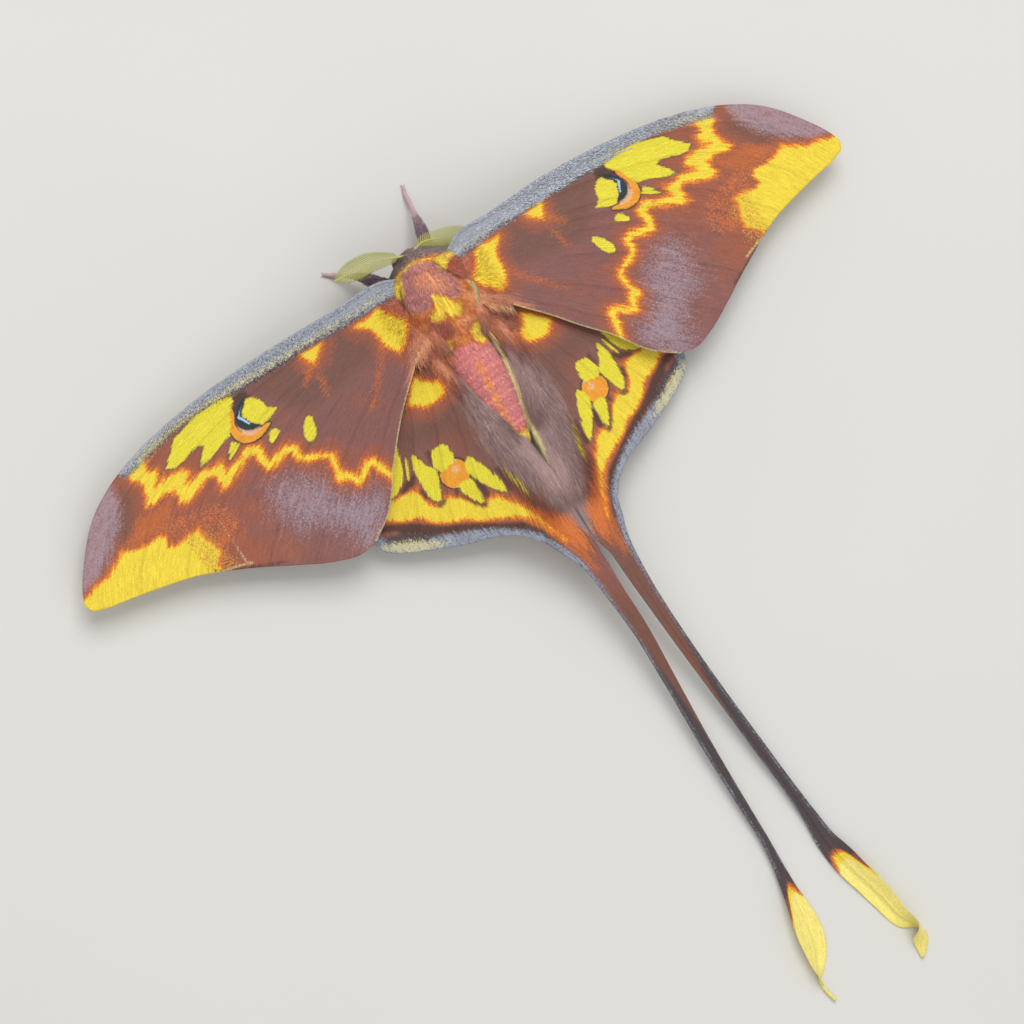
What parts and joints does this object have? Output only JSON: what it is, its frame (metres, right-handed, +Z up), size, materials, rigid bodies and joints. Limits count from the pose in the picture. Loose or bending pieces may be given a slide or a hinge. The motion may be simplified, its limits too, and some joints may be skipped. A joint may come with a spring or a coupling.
{
  "type": "actias ignescens moon moth",
  "caption": "Still, life-size model of a long-tailed moon moth at rest with its wings spread, brown and yellow with eye spots, standing on its feet and tail ends.",
  "frame": {"origin": "centre of the whole outline in plan, on the floor that the feet and the tail ends stand on", "axes": "+Z up from the floor, -Y towards the head, +Y towards the tail ends, +X to the moth's left"},
  "size_m": [0.1416, 0.148, 0.0158],
  "materials": {
    "thorax_fur": "dense soft fur, matt",
    "head_fur": "short dense fur, matt",
    "abdomen_fur": "short fur, matt",
    "eye": "dark, faceted, glossy",
    "antenna": "satin",
    "forewing_scales": "fine scales, matt with a slight sheen",
    "hindwing_scales": "fine scales, matt with a slight sheen",
    "tail_scales": "fine scales, matt with a slight sheen",
    "leg_scales": "short scales and hair, matt"
  },
  "bodies": {
    "root": {"thorax": "thorax_fur", "head": "head_fur", "abdomen": "abdomen_fur", "eye_l": "eye", "eye_r": "eye", "antenna_l": "antenna", "antenna_r": "antenna", "forewing_l": "forewing_scales", "forewing_r": "forewing_scales", "hindwing_l": "hindwing_scales", "hindwing_r": "hindwing_scales", "hindwing_tail_l": "tail_scales", "hindwing_tail_r": "tail_scales", "leg_fore_l": "leg_scales", "leg_fore_r": "leg_scales", "leg_mid_l": "leg_scales", "leg_mid_r": "leg_scales", "leg_hind_l": "leg_scales", "leg_hind_r": "leg_scales"}
  },
  "joints": []
}
